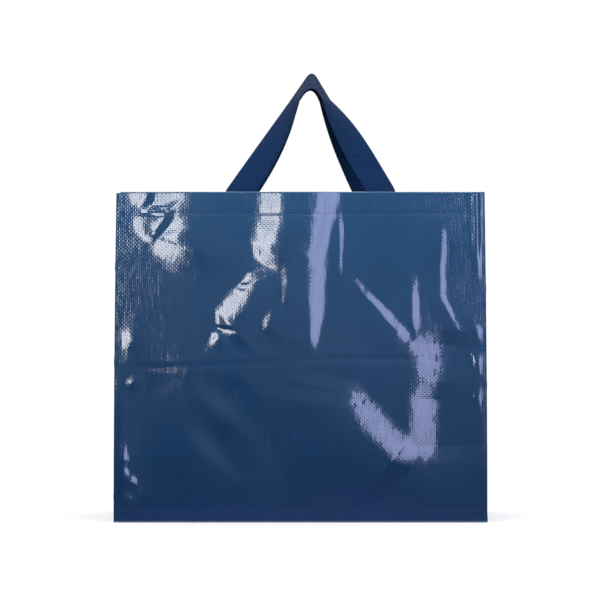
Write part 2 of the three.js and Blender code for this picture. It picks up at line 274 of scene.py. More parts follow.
class BagColours(bpy.types.PropertyGroup):
    """The colours of the bag that a user would change."""

    laminate: bpy.props.FloatVectorProperty(
        name="Laminate",
        description="Blue of the woven sheet",
        size=3,
        subtype="COLOR",
        default=linear("#104466"),
    )
    webbing: bpy.props.FloatVectorProperty(
        name="Webbing", description="Navy of the handles", size=3, subtype="COLOR", default=linear("#0E2747")
    )
    thread: bpy.props.FloatVectorProperty(
        name="Thread",
        description="Blue of the sewing thread",
        size=3,
        subtype="COLOR",
        default=linear("#1D486E"),
    )


def seam_x(sizes):
    """Half width at the upright seams: half the bag without its fin."""
    return sizes.width / 2 - sizes.fin


def half_depth(sizes, z):
    """Half the depth at a height: the base's half, less a power of the climb towards the mouth."""
    climb = np.maximum(0, z - sizes.base_lap) / (sizes.height - sizes.base_lap)
    return (sizes.base_depth - SHEET) / 2 - (sizes.base_depth - sizes.mouth_depth) / 2 * climb**WALL_LEAN


def stored_kink(z):
    """How far the wall stands out along the crease from storing it flat: a low tent with a rounded ridge."""
    away = np.hypot(z - STORED_CREASE, KINK_ROUND) - KINK_ROUND
    return KINK * np.maximum(0, 1 - away / KINK_REACH)


def relief(folds, x, z):
    """Sum of folds: each is its height times one less a smooth step of distance over width.

    Widths and height change evenly along each stretch of a fold's line, and the nearest stretch counts.
    The width turns from gentle to steep with the side of the line.
    """
    x, z = np.broadcast_arrays(x, z)
    total = np.zeros(x.shape)
    for line in folds.values():
        stations = np.array(line) * MM
        nearest = np.full(x.shape, np.inf)
        rise = np.zeros(x.shape)
        for start, end in zip(stations[:-1], stations[1:]):
            along = end[:2] - start[:2]
            length = np.hypot(*along)
            way_x, way_z = along / length
            share = np.clip(((x - start[0]) * way_x + (z - start[1]) * way_z) / length, 0, 1)
            off_x = x - start[0] - share * along[0]
            off_z = z - start[1] - share * along[1]
            distance = np.hypot(off_x, off_z)
            rightward = (way_z * off_x - way_x * off_z) / np.maximum(distance, 1e-9)
            steep, gentle, height = (start[i] + (end[i] - start[i]) * share for i in (2, 3, 4))
            width = gentle + (steep - gentle) * (0.5 + 0.5 * rightward)
            rise = np.where(distance < nearest, height * (1 - ease(distance / width, 0, 1)), rise)
            nearest = np.minimum(nearest, distance)
        total += rise
    return total


def wall_point(sizes, side, x, z, inside=0.0):
    """A place on the front (side -1) or back (side 1) wall: half depth plus folds, less a depth inside.

    The folds fade out by smooth steps towards the seams and the base, the small creases only close to the seams.
    """
    folds, creases = (FRONT_FOLDS, FRONT_CREASES) if side < 0 else (BACK_FOLDS, BACK_CREASES)
    from_seam = seam_x(sizes) - np.abs(x)
    held = ease(from_seam, 0, SEAM_FADE) * ease(z - sizes.base_lap, 0, BASE_FADE)
    crease_z = z + CREASE_TILT * side * x
    folded = relief(folds, -side * x, z) * held + stored_kink(crease_z) * ease(from_seam, 0, KINK_FADE)
    folded = folded + relief(creases, -side * x, z) * ease(from_seam, 0, CREASE_FADE)
    out = half_depth(sizes, z) + folded - inside
    return np.stack(np.broadcast_arrays(x, side * out, z), -1)


def turned_edge(sizes, rows, top, foot):
    """Heights and depths inside along a sheet that climbs from foot to top, rolls over and hangs as a hem."""
    roll = LAYER / 2
    up = np.linspace(foot, top - roll, rows)
    angle = np.linspace(0, np.pi, ROLL_ROWS + 2)[1:-1]
    down = np.linspace(top - roll, top - sizes.hem, HEM_ROWS)
    heights = np.concatenate([up, top - roll + roll * np.sin(angle), down])
    depths = np.concatenate([np.zeros(rows), roll - roll * np.cos(angle), np.full(HEM_ROWS, LAYER)])
    return heights[:, None], depths[:, None]


def sheet_mesh(name, points, thickness, cut):
    """A closed sheet: a grid moved half its thickness both ways along its normals, and joined round its rim.

    cut gives each grid point's place on the flat sheet in metres, for the pattern of the weave.
    """
    normals = unit(np.cross(np.gradient(points, axis=1), np.gradient(points, axis=0)))
    half = normals * np.broadcast_to(thickness, points.shape[:2])[..., None] / 2
    vertices = np.concatenate([(points + half).reshape(-1, 3), (points - half).reshape(-1, 3)])
    rows, columns = points.shape[:2]
    index = np.arange(rows * columns).reshape(rows, columns)
    outer = np.stack([index[:-1, :-1], index[:-1, 1:], index[1:, 1:], index[1:, :-1]], -1).reshape(-1, 4)
    rim = np.concatenate([index[0], index[1:, -1], index[-1, -2::-1], index[-2:0:-1, 0]])
    onward = np.roll(rim, -1)
    lift = rows * columns
    edge = np.stack([rim, rim + lift, onward + lift, onward], -1)
    faces = np.concatenate([outer, outer[:, ::-1] + lift, edge])
    return quad_mesh(name, vertices, faces, np.tile(cut.reshape(-1, 2), (2, 1)))


def quad_mesh(name, vertices, faces, cut=None):
    """A smooth mesh from arrays of vertices and four-sided faces, with sharp rims and an optional flat map."""
    mesh = bpy.data.meshes.new(name)
    mesh.vertices.add(len(vertices))
    mesh.vertices.foreach_set("co", vertices.astype(np.float32).ravel())
    mesh.loops.add(faces.size)
    mesh.loops.foreach_set("vertex_index", faces.astype(np.int32).ravel())
    mesh.polygons.add(len(faces))
    mesh.polygons.foreach_set("loop_start", np.arange(0, faces.size, 4, dtype=np.int32))
    if cut is not None:
        layer = mesh.uv_layers.new(name="Cut")
        layer.data.foreach_set("uv", cut[faces].astype(np.float32).ravel())
    mesh.update(calc_edges=True)
    mesh.validate()
    mesh.shade_smooth()
    mesh.set_sharp_from_angle(angle=math.radians(50))
    return mesh


def place(mesh, material, slot, *nodes):
    """Links a mesh as a piece of the bag that rides on its one body and stands for the given solids."""
    piece = bpy.data.objects.new(mesh.name, mesh)
    bpy.context.scene.collection.objects.link(piece)
    mesh.materials.append(material)
    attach(piece, "root")
    if nodes:
        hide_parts(*nodes)
    return piece


def path_length(points):
    """Distance along rows of points from the first row, summed step by step."""
    steps = np.linalg.norm(np.diff(points, axis=0), axis=-1)
    return np.concatenate([[0], np.cumsum(steps)])


def fin_reach(sizes, x_side, z):
    """Share of a fin's width that is left at a height: a few sine waves, and less at the upper left corner."""
    waves = sum(share * np.sin(z * rate + lag * x_side) for share, rate, lag in FIN_WAVES)
    corner = FIN_CORNER_LOSS * (x_side < 0) * ease(z, sizes.height - FIN_CORNER, sizes.height)
    return FIN_SHARE + waves - corner


def wall_sheet(sizes, name, side, grid):
    """A front or back sheet: the wall over a grid of widths and heights, with its mouth edge turned in."""
    columns, rows = grid
    z, inside = turned_edge(sizes, rows, sizes.height, LAYER_GAP)
    share = np.linspace(-1, 1, columns)[None, :]
    hem_half = seam_x(sizes) - HEM_INSET
    half = sizes.width / 2 + (hem_half - sizes.width / 2) * inside / LAYER
    x = share * half
    past_seam = np.maximum(np.abs(x) - seam_x(sizes), 0)
    x = np.sign(x) * (np.abs(x) - past_seam * (1 - fin_reach(sizes, np.sign(x), z)))
    points = wall_point(sizes, side, x, z, inside)
    climb = path_length(points[:, columns // 2])
    cut = np.stack(np.broadcast_arrays(share * sizes.width / 2, climb[:, None]), -1)
    return sheet_mesh(name, points, SHEET, cut)


def gusset_point(sizes, side, share, z, inside=0.0):
    """A place on a gusset, share -1 at the front seam to 1 at the back seam.

    It folds in by the lesser of two slopes, from the seams and from the base, with rounded creases.
    """
    half = half_depth(sizes, z) - LAYER
    half_base = half_depth(sizes, 0.0) - LAYER
    slack = np.sqrt(np.maximum(0, half_base**2 - half**2))
    corner = half_depth(sizes, sizes.base_lap + half_base) - LAYER
    lean = np.sqrt(half_base**2 - corner**2) / half_base
    slope = np.maximum(lean, slack / half)
    from_seam = slope * half * (1 - np.sqrt(share**2 + GUSSET_ROUND**2))
    from_base = lean * np.maximum(0, z - sizes.base_lap)
    near = np.maximum(GUSSET_CREASE - np.abs(from_seam - from_base), 0) / GUSSET_CREASE
    inward = np.maximum(0, np.minimum(from_seam, from_base) - near**2 * GUSSET_CREASE / 4)
    mitre = np.hypot(1, slope)
    turn = np.clip(share / GUSSET_ROUND, -1, 1)
    y = share * half + turn * inside * slope / mitre
    x = side * (seam_x(sizes) - inward - inside * (mitre + (1 / mitre - mitre) * np.abs(turn)))
    return np.stack(np.broadcast_arrays(x, y, z), -1)


def gusset_sheet(sizes, name, side):
    """A side sheet: a gusset with a fin at both upright edges and its mouth edge turned in."""
    columns, rows = GUSSET_GRID
    top = sizes.height - 2 * SHEET
    z, inside = turned_edge(sizes, rows, top, LAYER_GAP)
    share = np.linspace(-1, 1, columns)[None, :]
    hem_end = 1 - HEM_INSET / (half_depth(sizes, top) - LAYER)
    kept = share * (1 + (hem_end - 1) * inside / LAYER)
    points = gusset_point(sizes, side, kept, z, inside)
    fin = points[:, [0, -1]].copy()
    fin[..., 0] += side * sizes.fin * (1 - inside / LAYER)
    fin[..., 1] += np.array([-1, 1]) * inside * 0.01
    points = np.concatenate([fin[:, :1], points, fin[:, 1:]], 1)
    flat_half = sizes.base_depth / 2
    across = np.concatenate([[-1 - sizes.fin / flat_half], share[0], [1 + sizes.fin / flat_half]]) * flat_half
    cut = np.stack(np.broadcast_arrays(across[None, :], path_length(points[:, 1])[:, None]), -1)
    return sheet_mesh(name, points, SHEET, cut)


def tray_line(half, roll, lap, floor):
    """A line across the base: up the lap, round a quarter roll, over the flat, and the same again."""
    angle = np.linspace(0, np.pi / 2, 7)
    up = np.linspace(lap, floor + roll, 6)[:-1]
    flat = np.linspace(half - roll, 0, 24)[1:]
    at = np.concatenate([np.full(5, half), half - roll + roll * np.cos(angle), flat])
    level = np.concatenate([up, floor + roll - roll * np.sin(angle), np.full(23, floor)])
    return np.concatenate([-at, at[-2::-1]]), np.concatenate([level, level[-2::-1]])


def base_sheet(sizes, name):
    """The base: two tray lines crossed, the higher of the two at each place."""
    x, level_x = tray_line(seam_x(sizes) - LAYER, BASE_ROLL, sizes.base_lap, SHEET / 2)
    y, level_y = tray_line(half_depth(sizes, 0.0) - LAYER, BASE_ROLL, sizes.base_lap, SHEET / 2)
    z = np.maximum(level_x[None, :], level_y[:, None])
    points = np.stack(np.broadcast_arrays(x[None, :], y[:, None], z), -1)
    cut = np.stack(np.broadcast_arrays(x[None, :], y[:, None]), -1)
    return sheet_mesh(name, points, SHEET, cut)


def bezier(start, middle, end, share):
    """A quadratic curve through start and end, drawn towards middle, and its direction."""
    share = share[:, None]
    points = (1 - share) ** 2 * start + 2 * share * (1 - share) * middle + share**2 * end
    return points, unit((1 - share) * (middle - start) + share * (end - middle))


def webbing_leg(sizes, handle, number, hook, other_corner, reach):
    """One half of a handle from its foot up to the hook, as rows of points across the webbing.

    The foot follows the wall. The width then turns about the leg by a power of the height, or about
    its outer edge where the pivot is 1. The shape of the wall fades out of it above the mouth.
    """
    side = handle["side"]
    half = sizes.webbing_width / 2
    full_turn = math.radians(handle["turn"])
    narrowing = half * (1 - math.cos(full_turn))
    outwards = (-1, 1)[number]
    pivot = handle["pivot"][number]
    foot_x = handle["feet"][number]
    across = np.linspace(-half, half, WEBBING_COLUMNS)
    corner, end, seat = mouth_corner(sizes, handle, number)
    up = unit(hook - corner)
    forward = outwards * unit(np.cross(hook - other_corner, hook - corner))
    bend, bend_ways = bezier(end, corner, corner + up * MOUTH_BEND, np.linspace(0, 1, 20))
    length = np.linalg.norm(hook - corner) - MOUTH_BEND - reach
    straight = bend[-1] + up * (np.linspace(0, 1, 70)[1:, None] * length[None, :])[..., None]
    path = np.concatenate([np.repeat(bend[:, None], WEBBING_COLUMNS, 1), straight])
    ways = np.concatenate([bend_ways, np.repeat(up[None], len(straight), 0)])
    outward = unit(np.cross(forward, -outwards * ways))[:, None]
    over = np.cross(-outwards * ways[:, None], outward)
    flat = handle["flat"][number]
    climb = (path[..., 2] - sizes.height - flat) / (TURN_HEIGHT - flat)
    turned = full_turn * np.clip(climb, 0, 1) ** TURN_POWER
    off = across * np.cos(turned) - pivot * (half * np.cos(turned) - half + narrowing)
    free = path + outward * off[..., None] + over * (side * np.sin(turned) * across)[..., None]
    foot_z = np.linspace(sizes.height - sizes.hem + FOOT_INSET, end[2], 8)[:-1, None]
    foot = wall_point(sizes, side, foot_x + outwards * across[None, :], foot_z, seat)
    tilt = wall_point(sizes, side, foot_x + outwards * across, end[2], seat)[:, 1] - end[1]
    free[..., 1] += tilt * (1 - ease(free[..., 2], end[2], end[2] + FOOT_SETTLE))
    return np.concatenate([foot, free]), up, outward[-1, 0], over[-1, 0]


def mouth_corner(sizes, handle, number):
    """Where a leg leaves its foot under the mouth, where its bend starts below that, and its seat."""
    half = sizes.webbing_width / 2
    narrowing = half * (1 - math.cos(math.radians(handle["turn"])))
    swing = np.array([(-1, 1)[number] * handle["pivot"][number] * narrowing, 0, 0])
    seat = LAYER + SHEET / 2 + LAYER_GAP + sizes.webbing_thickness / 2
    foot_x = handle["feet"][number]
    bend_z = sizes.height - MOUTH_DROP
    corner = wall_point(sizes, handle["side"], foot_x, bend_z, seat) + swing
    end = wall_point(sizes, handle["side"], foot_x, bend_z - MOUTH_BEND, seat) + swing
    return corner, end, seat


def webbing_strip(sizes, name):
    """A handle: two legs, each column of which meets in its own corner and is rounded there by a curve.

    The curve is longer at the inner edge, which lies on the hook, than at the outer edge, which stands up.
    """
    handle = HANDLES[name]
    half = sizes.webbing_width / 2
    full_turn = math.radians(handle["turn"])
    across = np.linspace(-half, half, WEBBING_COLUMNS)
    corners = [mouth_corner(sizes, handle, number)[0] for number in (0, 1)]
    top = sizes.height + sizes.handle_rise
    spread = math.atan2(corners[1][0] - corners[0][0], 2 * (top - corners[0][2]))
    mitre = half * math.cos(full_turn) / math.sin(spread)
    hook_y = handle["side"] * (half * math.sin(full_turn) + HOOK_GAP)
    hook_z = top - mitre + HOOK_BEND_OUTER * math.cos(spread) / 2
    hook = np.array([sizes.hook_shift, hook_y, hook_z])
    bend = HOOK_BEND_INNER + (HOOK_BEND_OUTER - HOOK_BEND_INNER) * (across / half + 1) / 2
    past_hook = across * math.cos(full_turn) / math.tan(spread)
    reach = bend - past_hook
    left, left_up, left_out, over = webbing_leg(sizes, handle, 0, hook, corners[1], reach)
    right, right_up, right_out, _ = webbing_leg(sizes, handle, 1, hook, corners[0], reach)
    peak = hook + over * (handle["side"] * math.sin(full_turn) * across)[:, None]
    peak = peak + unit(left_out + right_out) * (across * math.cos(full_turn) / math.sin(spread))[:, None]
    share = np.linspace(0, 1, 50)[1:-1, None, None]
    curve = (1 - share) ** 2 * left[-1] + 2 * share * (1 - share) * peak + share**2 * right[-1]
    strip = np.concatenate([left, curve, right[::-1]])
    along = path_length(strip[:, WEBBING_COLUMNS // 2])
    cut = np.stack(np.broadcast_arrays(across[None, :], along[:, None]), -1)
    edge = np.abs(across) / half
    thickness = sizes.webbing_thickness * (1 - 0.55 * edge**14)
    return sheet_mesh(name, strip, thickness[None, :], cut)


def stitches(name, centres, ways, normals, length, thickness):
    """Stitches: one short round thread repeated, its rings thickest in the middle, laid along each way."""
    rings = np.array([-0.5, -0.38, 0, 0.38, 0.5])
    sizes_of_rings = np.array([0.35, 0.85, 1, 0.85, 0.35])
    angle = np.arange(6) * math.pi / 3
    ways = unit(ways)
    normals = unit(normals - ways * (normals * ways).sum(-1, keepdims=True))
    sides = np.cross(normals, ways)
    along = rings[:, None] * np.ones(6) * length
    up = sizes_of_rings[:, None] * np.sin(angle) * thickness / 2
    out = sizes_of_rings[:, None] * np.cos(angle) * thickness / 2
    offset = (
        ways[:, None, None, :] * along[None, :, :, None]
        + normals[:, None, None, :] * up[None, :, :, None]
        + sides[:, None, None, :] * out[None, :, :, None]
    )
    vertices = (centres[:, None, None, :] + offset).reshape(-1, 3)
    index = np.arange(30).reshape(5, 6)
    onward = np.roll(index, -1, axis=1)
    skin = np.stack([index[:-1], index[1:], onward[1:], onward[:-1]], -1).reshape(-1, 4)
    caps = np.array([[0, 1, 2, 3], [0, 3, 4, 5], [27, 26, 25, 24], [29, 28, 27, 24]])
    one = np.concatenate([skin, caps])
    faces = (one[None] + 30 * np.arange(len(centres))[:, None, None]).reshape(-1, 4)
    return quad_mesh(name, vertices, faces)


def stitch_rows(sizes, name, side, lines):
    """Rows of stitches on the outside of a wall, each from one place to another, a stitch length apart."""
    thread = 0.5 * MM
    centres, ways = [], []
    for x0, z0, x1, z1 in lines:
        count = max(2, round(math.hypot(x1 - x0, z1 - z0) / sizes.stitch))
        share = (np.arange(count) + 0.5) / count
        step = 0.3 / count
        at, before, after = (
            wall_point(sizes, side, x0 + (x1 - x0) * t, z0 + (z1 - z0) * t, -(SHEET + thread * 0.5) / 2)
            for t in (share, share - step, share + step)
        )
        centres.append(at)
        ways.append(after - before)
    centres, ways = np.concatenate(centres), np.concatenate(ways)
    normals = np.tile([0.0, side, 0.0], (len(centres), 1))
    return stitches(name, centres, ways, normals, sizes.stitch * 0.72, thread)


def wall_stitch_lines(sizes, handle):
    """The rows on a wall: along the hem, the base lap and both fins, and a box round each foot."""
    edge = seam_x(sizes) - 2 * MM
    hem_z = sizes.height - sizes.hem + 2 * MM
    base_z = sizes.base_lap - 2 * MM
    fin_x = seam_x(sizes) + sizes.fin * 0.3
    lines = [(-edge, hem_z, edge, hem_z), (-edge, base_z, edge, base_z)]
    lines += [(x, 3 * MM, x, sizes.height - 3 * MM) for x in (-fin_x, fin_x)]
    low, high = hem_z + 3 * MM, sizes.height - 4 * MM
    for foot in handle["feet"]:
        left, right = foot - sizes.webbing_width * 0.4, foot + sizes.webbing_width * 0.4
        lines += [(left, low, right, low), (right, low, right, high)]
        lines += [(right, high, left, high), (left, high, left, low)]
    return lines


def add_node(tree, kind, inputs=(), **settings):
    """Adds a node, sets its settings, and fills or links its inputs by name or number."""
    node = tree.nodes.new(kind)
    for key, value in settings.items():
        setattr(node, key, value)
    for key, value in dict(inputs).items():
        if isinstance(value, bpy.types.NodeSocket):
            tree.links.new(value, node.inputs[key])
        else:
            node.inputs[key].default_value = value
    return node


def new_material(name):
    """An empty node material and its tree."""
    material = bpy.data.materials.new(name)
    material.use_nodes = True
    material.node_tree.nodes.clear()
    return material, material.node_tree


def laminate_material(colour):
    """Woven polypropylene tapes under a clear film: a glossy coat over soft blue, broken by the weave."""
    name = "laminated_woven_polypropylene"
    if name in bpy.data.materials:
        return bpy.data.materials[name]
    material, tree = new_material(name)
    tape = 2.4 * MM
    strand_length = 16 * MM
    cloud = 60 * MM
    bow = 0.048
    tilt = 0.075
    cut = add_node(tree, "ShaderNodeUVMap", uv_map="Cut")
    place_on_sheet = add_node(tree, "ShaderNodeSeparateXYZ", {0: cut.outputs["UV"]})
    counts, shares = [], []
    for axis in ("X", "Y"):
        tapes = add_node(
            tree, "ShaderNodeMath", {0: place_on_sheet.outputs[axis], 1: 1 / tape}, operation="MULTIPLY"
        ).outputs[0]
        count = add_node(tree, "ShaderNodeMath", {0: tapes}, operation="FLOOR").outputs[0]
        share = add_node(tree, "ShaderNodeMath", {0: tapes}, operation="FRACT").outputs[0]
        counts.append(count)
        shares.append(add_node(tree, "ShaderNodeMath", {0: share, 1: 0.5}, operation="SUBTRACT").outputs[0])
    both = add_node(tree, "ShaderNodeMath", {0: counts[0], 1: counts[1]}, operation="ADD").outputs[0]
    under = add_node(tree, "ShaderNodeMath", {0: both, 1: 2.0}, operation="FLOORED_MODULO").outputs[0]
    bowed = add_node(tree, "ShaderNodeMix", {0: under, 2: shares[0], 3: shares[1]}).outputs[0]
    round_tape = add_node(tree, "ShaderNodeMath", {0: bowed, 1: bowed}, operation="MULTIPLY").outputs[0]
    sunk = add_node(tree, "ShaderNodeMath", {0: round_tape, 1: -bow * tape}, operation="MULTIPLY").outputs[0]
    strand = add_node(tree, "ShaderNodeMath", {0: counts[0], 1: 7.31}, operation="MULTIPLY").outputs[0]
    climb = add_node(
        tree, "ShaderNodeMath", {0: place_on_sheet.outputs["Y"], 1: 1 / strand_length}, operation="MULTIPLY"
    ).outputs[0]
    strand_place = add_node(tree, "ShaderNodeCombineXYZ", {0: strand, 1: climb}).outputs[0]
    strand_noise = add_node(
        tree,
        "ShaderNodeTexNoise",
        {"Vector": strand_place, "Scale": 1.0, "Detail": 1.0},
        noise_dimensions="2D",
    ).outputs[0]
    lean = add_node(
        tree,
        "ShaderNodeMath",
        {0: strand_noise, 1: tilt * tape, 2: -0.5 * tilt * tape},
        operation="MULTIPLY_ADD",
    ).outputs[0]
    tape_height = add_node(
        tree, "ShaderNodeMath", {0: lean, 1: shares[0], 2: sunk}, operation="MULTIPLY_ADD"
    ).outputs[0]
    bump = add_node(tree, "ShaderNodeBump", {"Strength": 1.0, "Distance": 1.0, "Height": tape_height})
    cloudy = add_node(
        tree, "ShaderNodeTexNoise", {"Vector": cut.outputs["UV"], "Scale": 1 / cloud, "Detail": 3.0}
    ).outputs[0]
    tone = add_node(tree, "ShaderNodeMapRange", {0: cloudy, 1: 0.3, 2: 0.7, 3: 0.93, 4: 1.07}).outputs[0]
    strand_tone = add_node(
        tree, "ShaderNodeMapRange", {0: strand_noise, 1: 0.3, 2: 0.7, 3: 0.95, 4: 1.05}
    ).outputs[0]
    shade = add_node(tree, "ShaderNodeMath", {0: tone, 1: strand_tone}, operation="MULTIPLY").outputs[0]
    blue = add_node(
        tree,
        "ShaderNodeMix",
        {0: 1.0, 6: (*colour, 1), 7: shade},
        data_type="RGBA",
        blend_type="MULTIPLY",
    ).outputs[2]
    shader = add_node(
        tree,
        "ShaderNodeBsdfPrincipled",
        {
            "Base Color": blue,
            "Roughness": 0.12,
            "IOR": 1.49,
            "Coat Weight": 1.0,
            "Coat Roughness": 0.05,
            "Coat IOR": 1.55,
            "Normal": bump.outputs[0],
            "Coat Normal": bump.outputs[0],
        },
    )
    add_node(tree, "ShaderNodeOutputMaterial", {"Surface": shader.outputs[0]})
    return material


def webbing_material(colour):
    """Polypropylene webbing in a fine twill: matt navy with slanting ribs, painted shade in the rib grooves, and
    painted shade higher up with painted light at the feet.
    """
    name = "polypropylene_twill_webbing"
    if name in bpy.data.materials:
        return bpy.data.materials[name]
    material, tree = new_material(name)
    rib = 2.2 * MM
    cut = add_node(tree, "ShaderNodeUVMap", uv_map="Cut")
    mapped = add_node(
        tree, "ShaderNodeMapping", {"Vector": cut.outputs[0], "Rotation": (0, 0, math.radians(35))}
    )
    ribs = add_node(
        tree,
        "ShaderNodeTexWave",
        {
            "Vector": mapped.outputs[0],
            "Scale": 0.314 / rib,
            "Distortion": 0.6,
            "Detail": 1.0,
            "Detail Scale": 3.0,
        },
        wave_profile="SIN",
    ).outputs[1]
    fuzz = add_node(
        tree, "ShaderNodeTexNoise", {"Vector": cut.outputs[0], "Scale": 1 / (1.1 * MM), "Detail": 2.0}
    ).outputs[0]
    height = add_node(tree, "ShaderNodeMath", {0: fuzz, 1: 0.6, 2: ribs}, operation="MULTIPLY_ADD").outputs[0]
    bump = add_node(tree, "ShaderNodeBump", {"Strength": 1.0, "Distance": 0.16 * MM, "Height": height})
    # The colour follows the rib and fuzz height: painted shade in the grooves between the ribs.
    tone = add_node(tree, "ShaderNodeMapRange", {0: height, 1: 0.1, 2: 1.5, 3: 0.72, 4: 1.22}).outputs[0]
    # Painted light and shade by height: the colour is lightened at the feet and darkened towards the hook, where
    # the top lamps light the handles most.
    spot = add_node(tree, "ShaderNodeTexCoord")
    high = add_node(tree, "ShaderNodeSeparateXYZ", {0: spot.outputs["Object"]}).outputs["Z"]
    painted_light_and_shade_by_height = add_node(tree, "ShaderNodeMapRange", {0: high, 1: 0.42, 2: 0.54, 3: 1.25, 4: 0.5}).outputs[0]
    tone = add_node(tree, "ShaderNodeMath", {0: tone, 1: painted_light_and_shade_by_height}, operation="MULTIPLY").outputs[0]
    navy = add_node(
        tree,
        "ShaderNodeMix",
        {0: 1.0, 6: (*colour, 1), 7: tone},
        data_type="RGBA",
        blend_type="MULTIPLY",
    ).outputs[2]
    shader = add_node(
        tree,
        "ShaderNodeBsdfPrincipled",
        {
            "Base Color": navy,
            "Roughness": 0.85,
            "Specular IOR Level": 0.08,
            "Normal": bump.outputs[0],
        },
    )
    add_node(tree, "ShaderNodeOutputMaterial", {"Surface": shader.outputs[0]})
    return material


def thread_material(colour):
    """Spun polyester thread: satin blue with a fine lay, seen only as tone on a stitch."""
    name = "polyester_thread"
    if name in bpy.data.materials:
        return bpy.data.materials[name]
    material, tree = new_material(name)
    spot = add_node(tree, "ShaderNodeTexCoord")
    lay = add_node(
        tree, "ShaderNodeTexNoise", {"Vector": spot.outputs["Object"], "Scale": 1 / (0.8 * MM), "Detail": 2.0}
    ).outputs[0]
    tone = add_node(tree, "ShaderNodeMapRange", {0: lay, 1: 0.3, 2: 0.7, 3: 0.75, 4: 1.2}).outputs[0]
    blue = add_node(
        tree,
        "ShaderNodeMix",
        {0: 1.0, 6: (*colour, 1), 7: tone},
        data_type="RGBA",
        blend_type="MULTIPLY",
    ).outputs[2]
    shader = add_node(tree, "ShaderNodeBsdfPrincipled", {"Base Color": blue, "Roughness": 0.5, "IOR": 1.5})
    add_node(tree, "ShaderNodeOutputMaterial", {"Surface": shader.outputs[0]})
    return material


class CARRIERBAG_OT_walls(bpy.types.Operator):
    """Make the front and back sheets"""

    bl_idname = "carrierbag.walls"
    bl_label = "Front and back sheets"

    def execute(self, context):
        sizes = context.scene.bag_sizes
        material = laminate_material(context.scene.bag_colours.laminate)
        for name, node, side, grid in (
            ("front_sheet", "front_panel", -1, FRONT_GRID),
            ("back_sheet", "back_panel", 1, BACK_GRID),
        ):
            piece = place(wall_sheet(sizes, name, side, grid), material, "laminate", node)
        return {"FINISHED"}


class CARRIERBAG_OT_gussets(bpy.types.Operator):
    """Make the two side sheets, folded in along their middles"""

    bl_idname = "carrierbag.gussets"
    bl_label = "Gussets"

    def execute(self, context):
        sizes = context.scene.bag_sizes
        material = laminate_material(context.scene.bag_colours.laminate)
        for name, node, side in (
            ("left_gusset_sheet", "left_gusset", -1),
            ("right_gusset_sheet", "right_gusset", 1),
        ):
            piece = place(gusset_sheet(sizes, name, side), material, "laminate", node)
        return {"FINISHED"}


class CARRIERBAG_OT_base(bpy.types.Operator):
    """Make the base sheet, turned up inside the walls"""

    bl_idname = "carrierbag.base"
    bl_label = "Base sheet"

    def execute(self, context):
        sizes = context.scene.bag_sizes
        material = laminate_material(context.scene.bag_colours.laminate)
        piece = place(base_sheet(sizes, "base_sheet"), material, "laminate", "base_panel")
        return {"FINISHED"}


class CARRIERBAG_OT_handles(bpy.types.Operator):
    """Make the two webbing handles, drawn up to one point"""

    bl_idname = "carrierbag.handles"
    bl_label = "Handles"

    def execute(self, context):
        sizes = context.scene.bag_sizes
        material = webbing_material(context.scene.bag_colours.webbing)
        for node in HANDLES:
            mesh = webbing_strip(sizes, node)
            mesh.name = node + "_webbing"
            piece = place(mesh, material, "webbing", node)
        return {"FINISHED"}


class CARRIERBAG_OT_sewing(bpy.types.Operator):
    """Make the rows of stitches on the front and back sheets"""

    bl_idname = "carrierbag.sewing"
    bl_label = "Sewing"

    def execute(self, context):
        sizes = context.scene.bag_sizes
        material = thread_material(context.scene.bag_colours.thread)
        for name, node in (("front_sewing", "front_handle"), ("back_sewing", "back_handle")):
            handle = HANDLES[node]
            lines = wall_stitch_lines(sizes, handle)
            place(stitch_rows(sizes, name, handle["side"], lines), material, "laminate")
        return {"FINISHED"}


class CARRIERBAG_OT_stage(bpy.types.Operator):
    """Make the floor, the lamps, the world and the camera"""

    bl_idname = "carrierbag.stage"
    bl_label = "Studio"

    def execute(self, context):
        scene = context.scene
        scene.view_settings.view_transform = "Standard"
        make_floor(scene)
        make_dark_wall(scene)
        make_world(scene)
        for name, spot, size, power, colour in LAMPS:
            make_lamp(scene, name, spot, size, power, colour)
        make_camera(scene)
        return {"FINISHED"}


# Softboxes: name, place, width and height (m), power (W), colour
LAMPS = (
    ("left_softbox", (-0.793, -2.45, 1.22), (0.43, 1.15), 13.2, (0.96, 0.97, 1.0)),
    ("right_softbox", (0.84, -2.43, 1.10), (0.60, 1.80), 17.3, (0.59, 0.62, 1.0)),
    ("top_softbox", (0.10, -0.38, 1.05), (1.20, 0.40), 11.0, (1.0, 1.0, 1.0)),
    ("back_left_softbox", (-0.84, 2.43, 1.10), (0.60, 1.80), 15.0, (0.80, 0.83, 1.0)),
    ("back_right_softbox", (0.793, 2.45, 1.22), (0.43, 1.15), 11.0, (0.80, 0.83, 1.0)),
    ("back_top_softbox", (-0.10, 0.38, 1.05), (1.20, 0.40), 9.0, (1.0, 1.0, 1.0)),
    ("left_side_softbox", (-2.40, 0.50, 1.10), (0.60, 1.40), 14.0, (0.86, 0.89, 1.0)),
    ("right_side_softbox", (2.40, 0.50, 1.10), (0.60, 1.40), 14.0, (0.86, 0.89, 1.0)),
)
LAMP_AIM = (0.0, 0.0, 0.25)


def make_lamp(scene, name, spot, size, power, colour):
    """A softbox that faces the bag and that the camera doesn't see."""
    data = bpy.data.lights.new(name, "AREA")
    data.shape = "RECTANGLE"
    data.size, data.size_y = size
    data.energy = power
    data.color = colour
    lamp = bpy.data.objects.new(name, data)
    lamp.location = spot
    lamp.rotation_euler = (Vector(LAMP_AIM) - Vector(spot)).to_track_quat("-Z", "Y").to_euler()
    lamp.visible_camera = False
    scene.collection.objects.link(lamp)


def seen_directly(tree):
    """One on camera, glossy and transmission rays, else zero."""
    path = add_node(tree, "ShaderNodeLightPath")
    some = add_node(
        tree,
        "ShaderNodeMath",
        {0: path.outputs["Is Camera Ray"], 1: path.outputs["Is Glossy Ray"]},
        operation="MAXIMUM",
    ).outputs[0]
    return add_node(
        tree, "ShaderNodeMath", {0: some, 1: path.outputs["Is Transmission Ray"]}, operation="MAXIMUM"
    ).outputs[0]


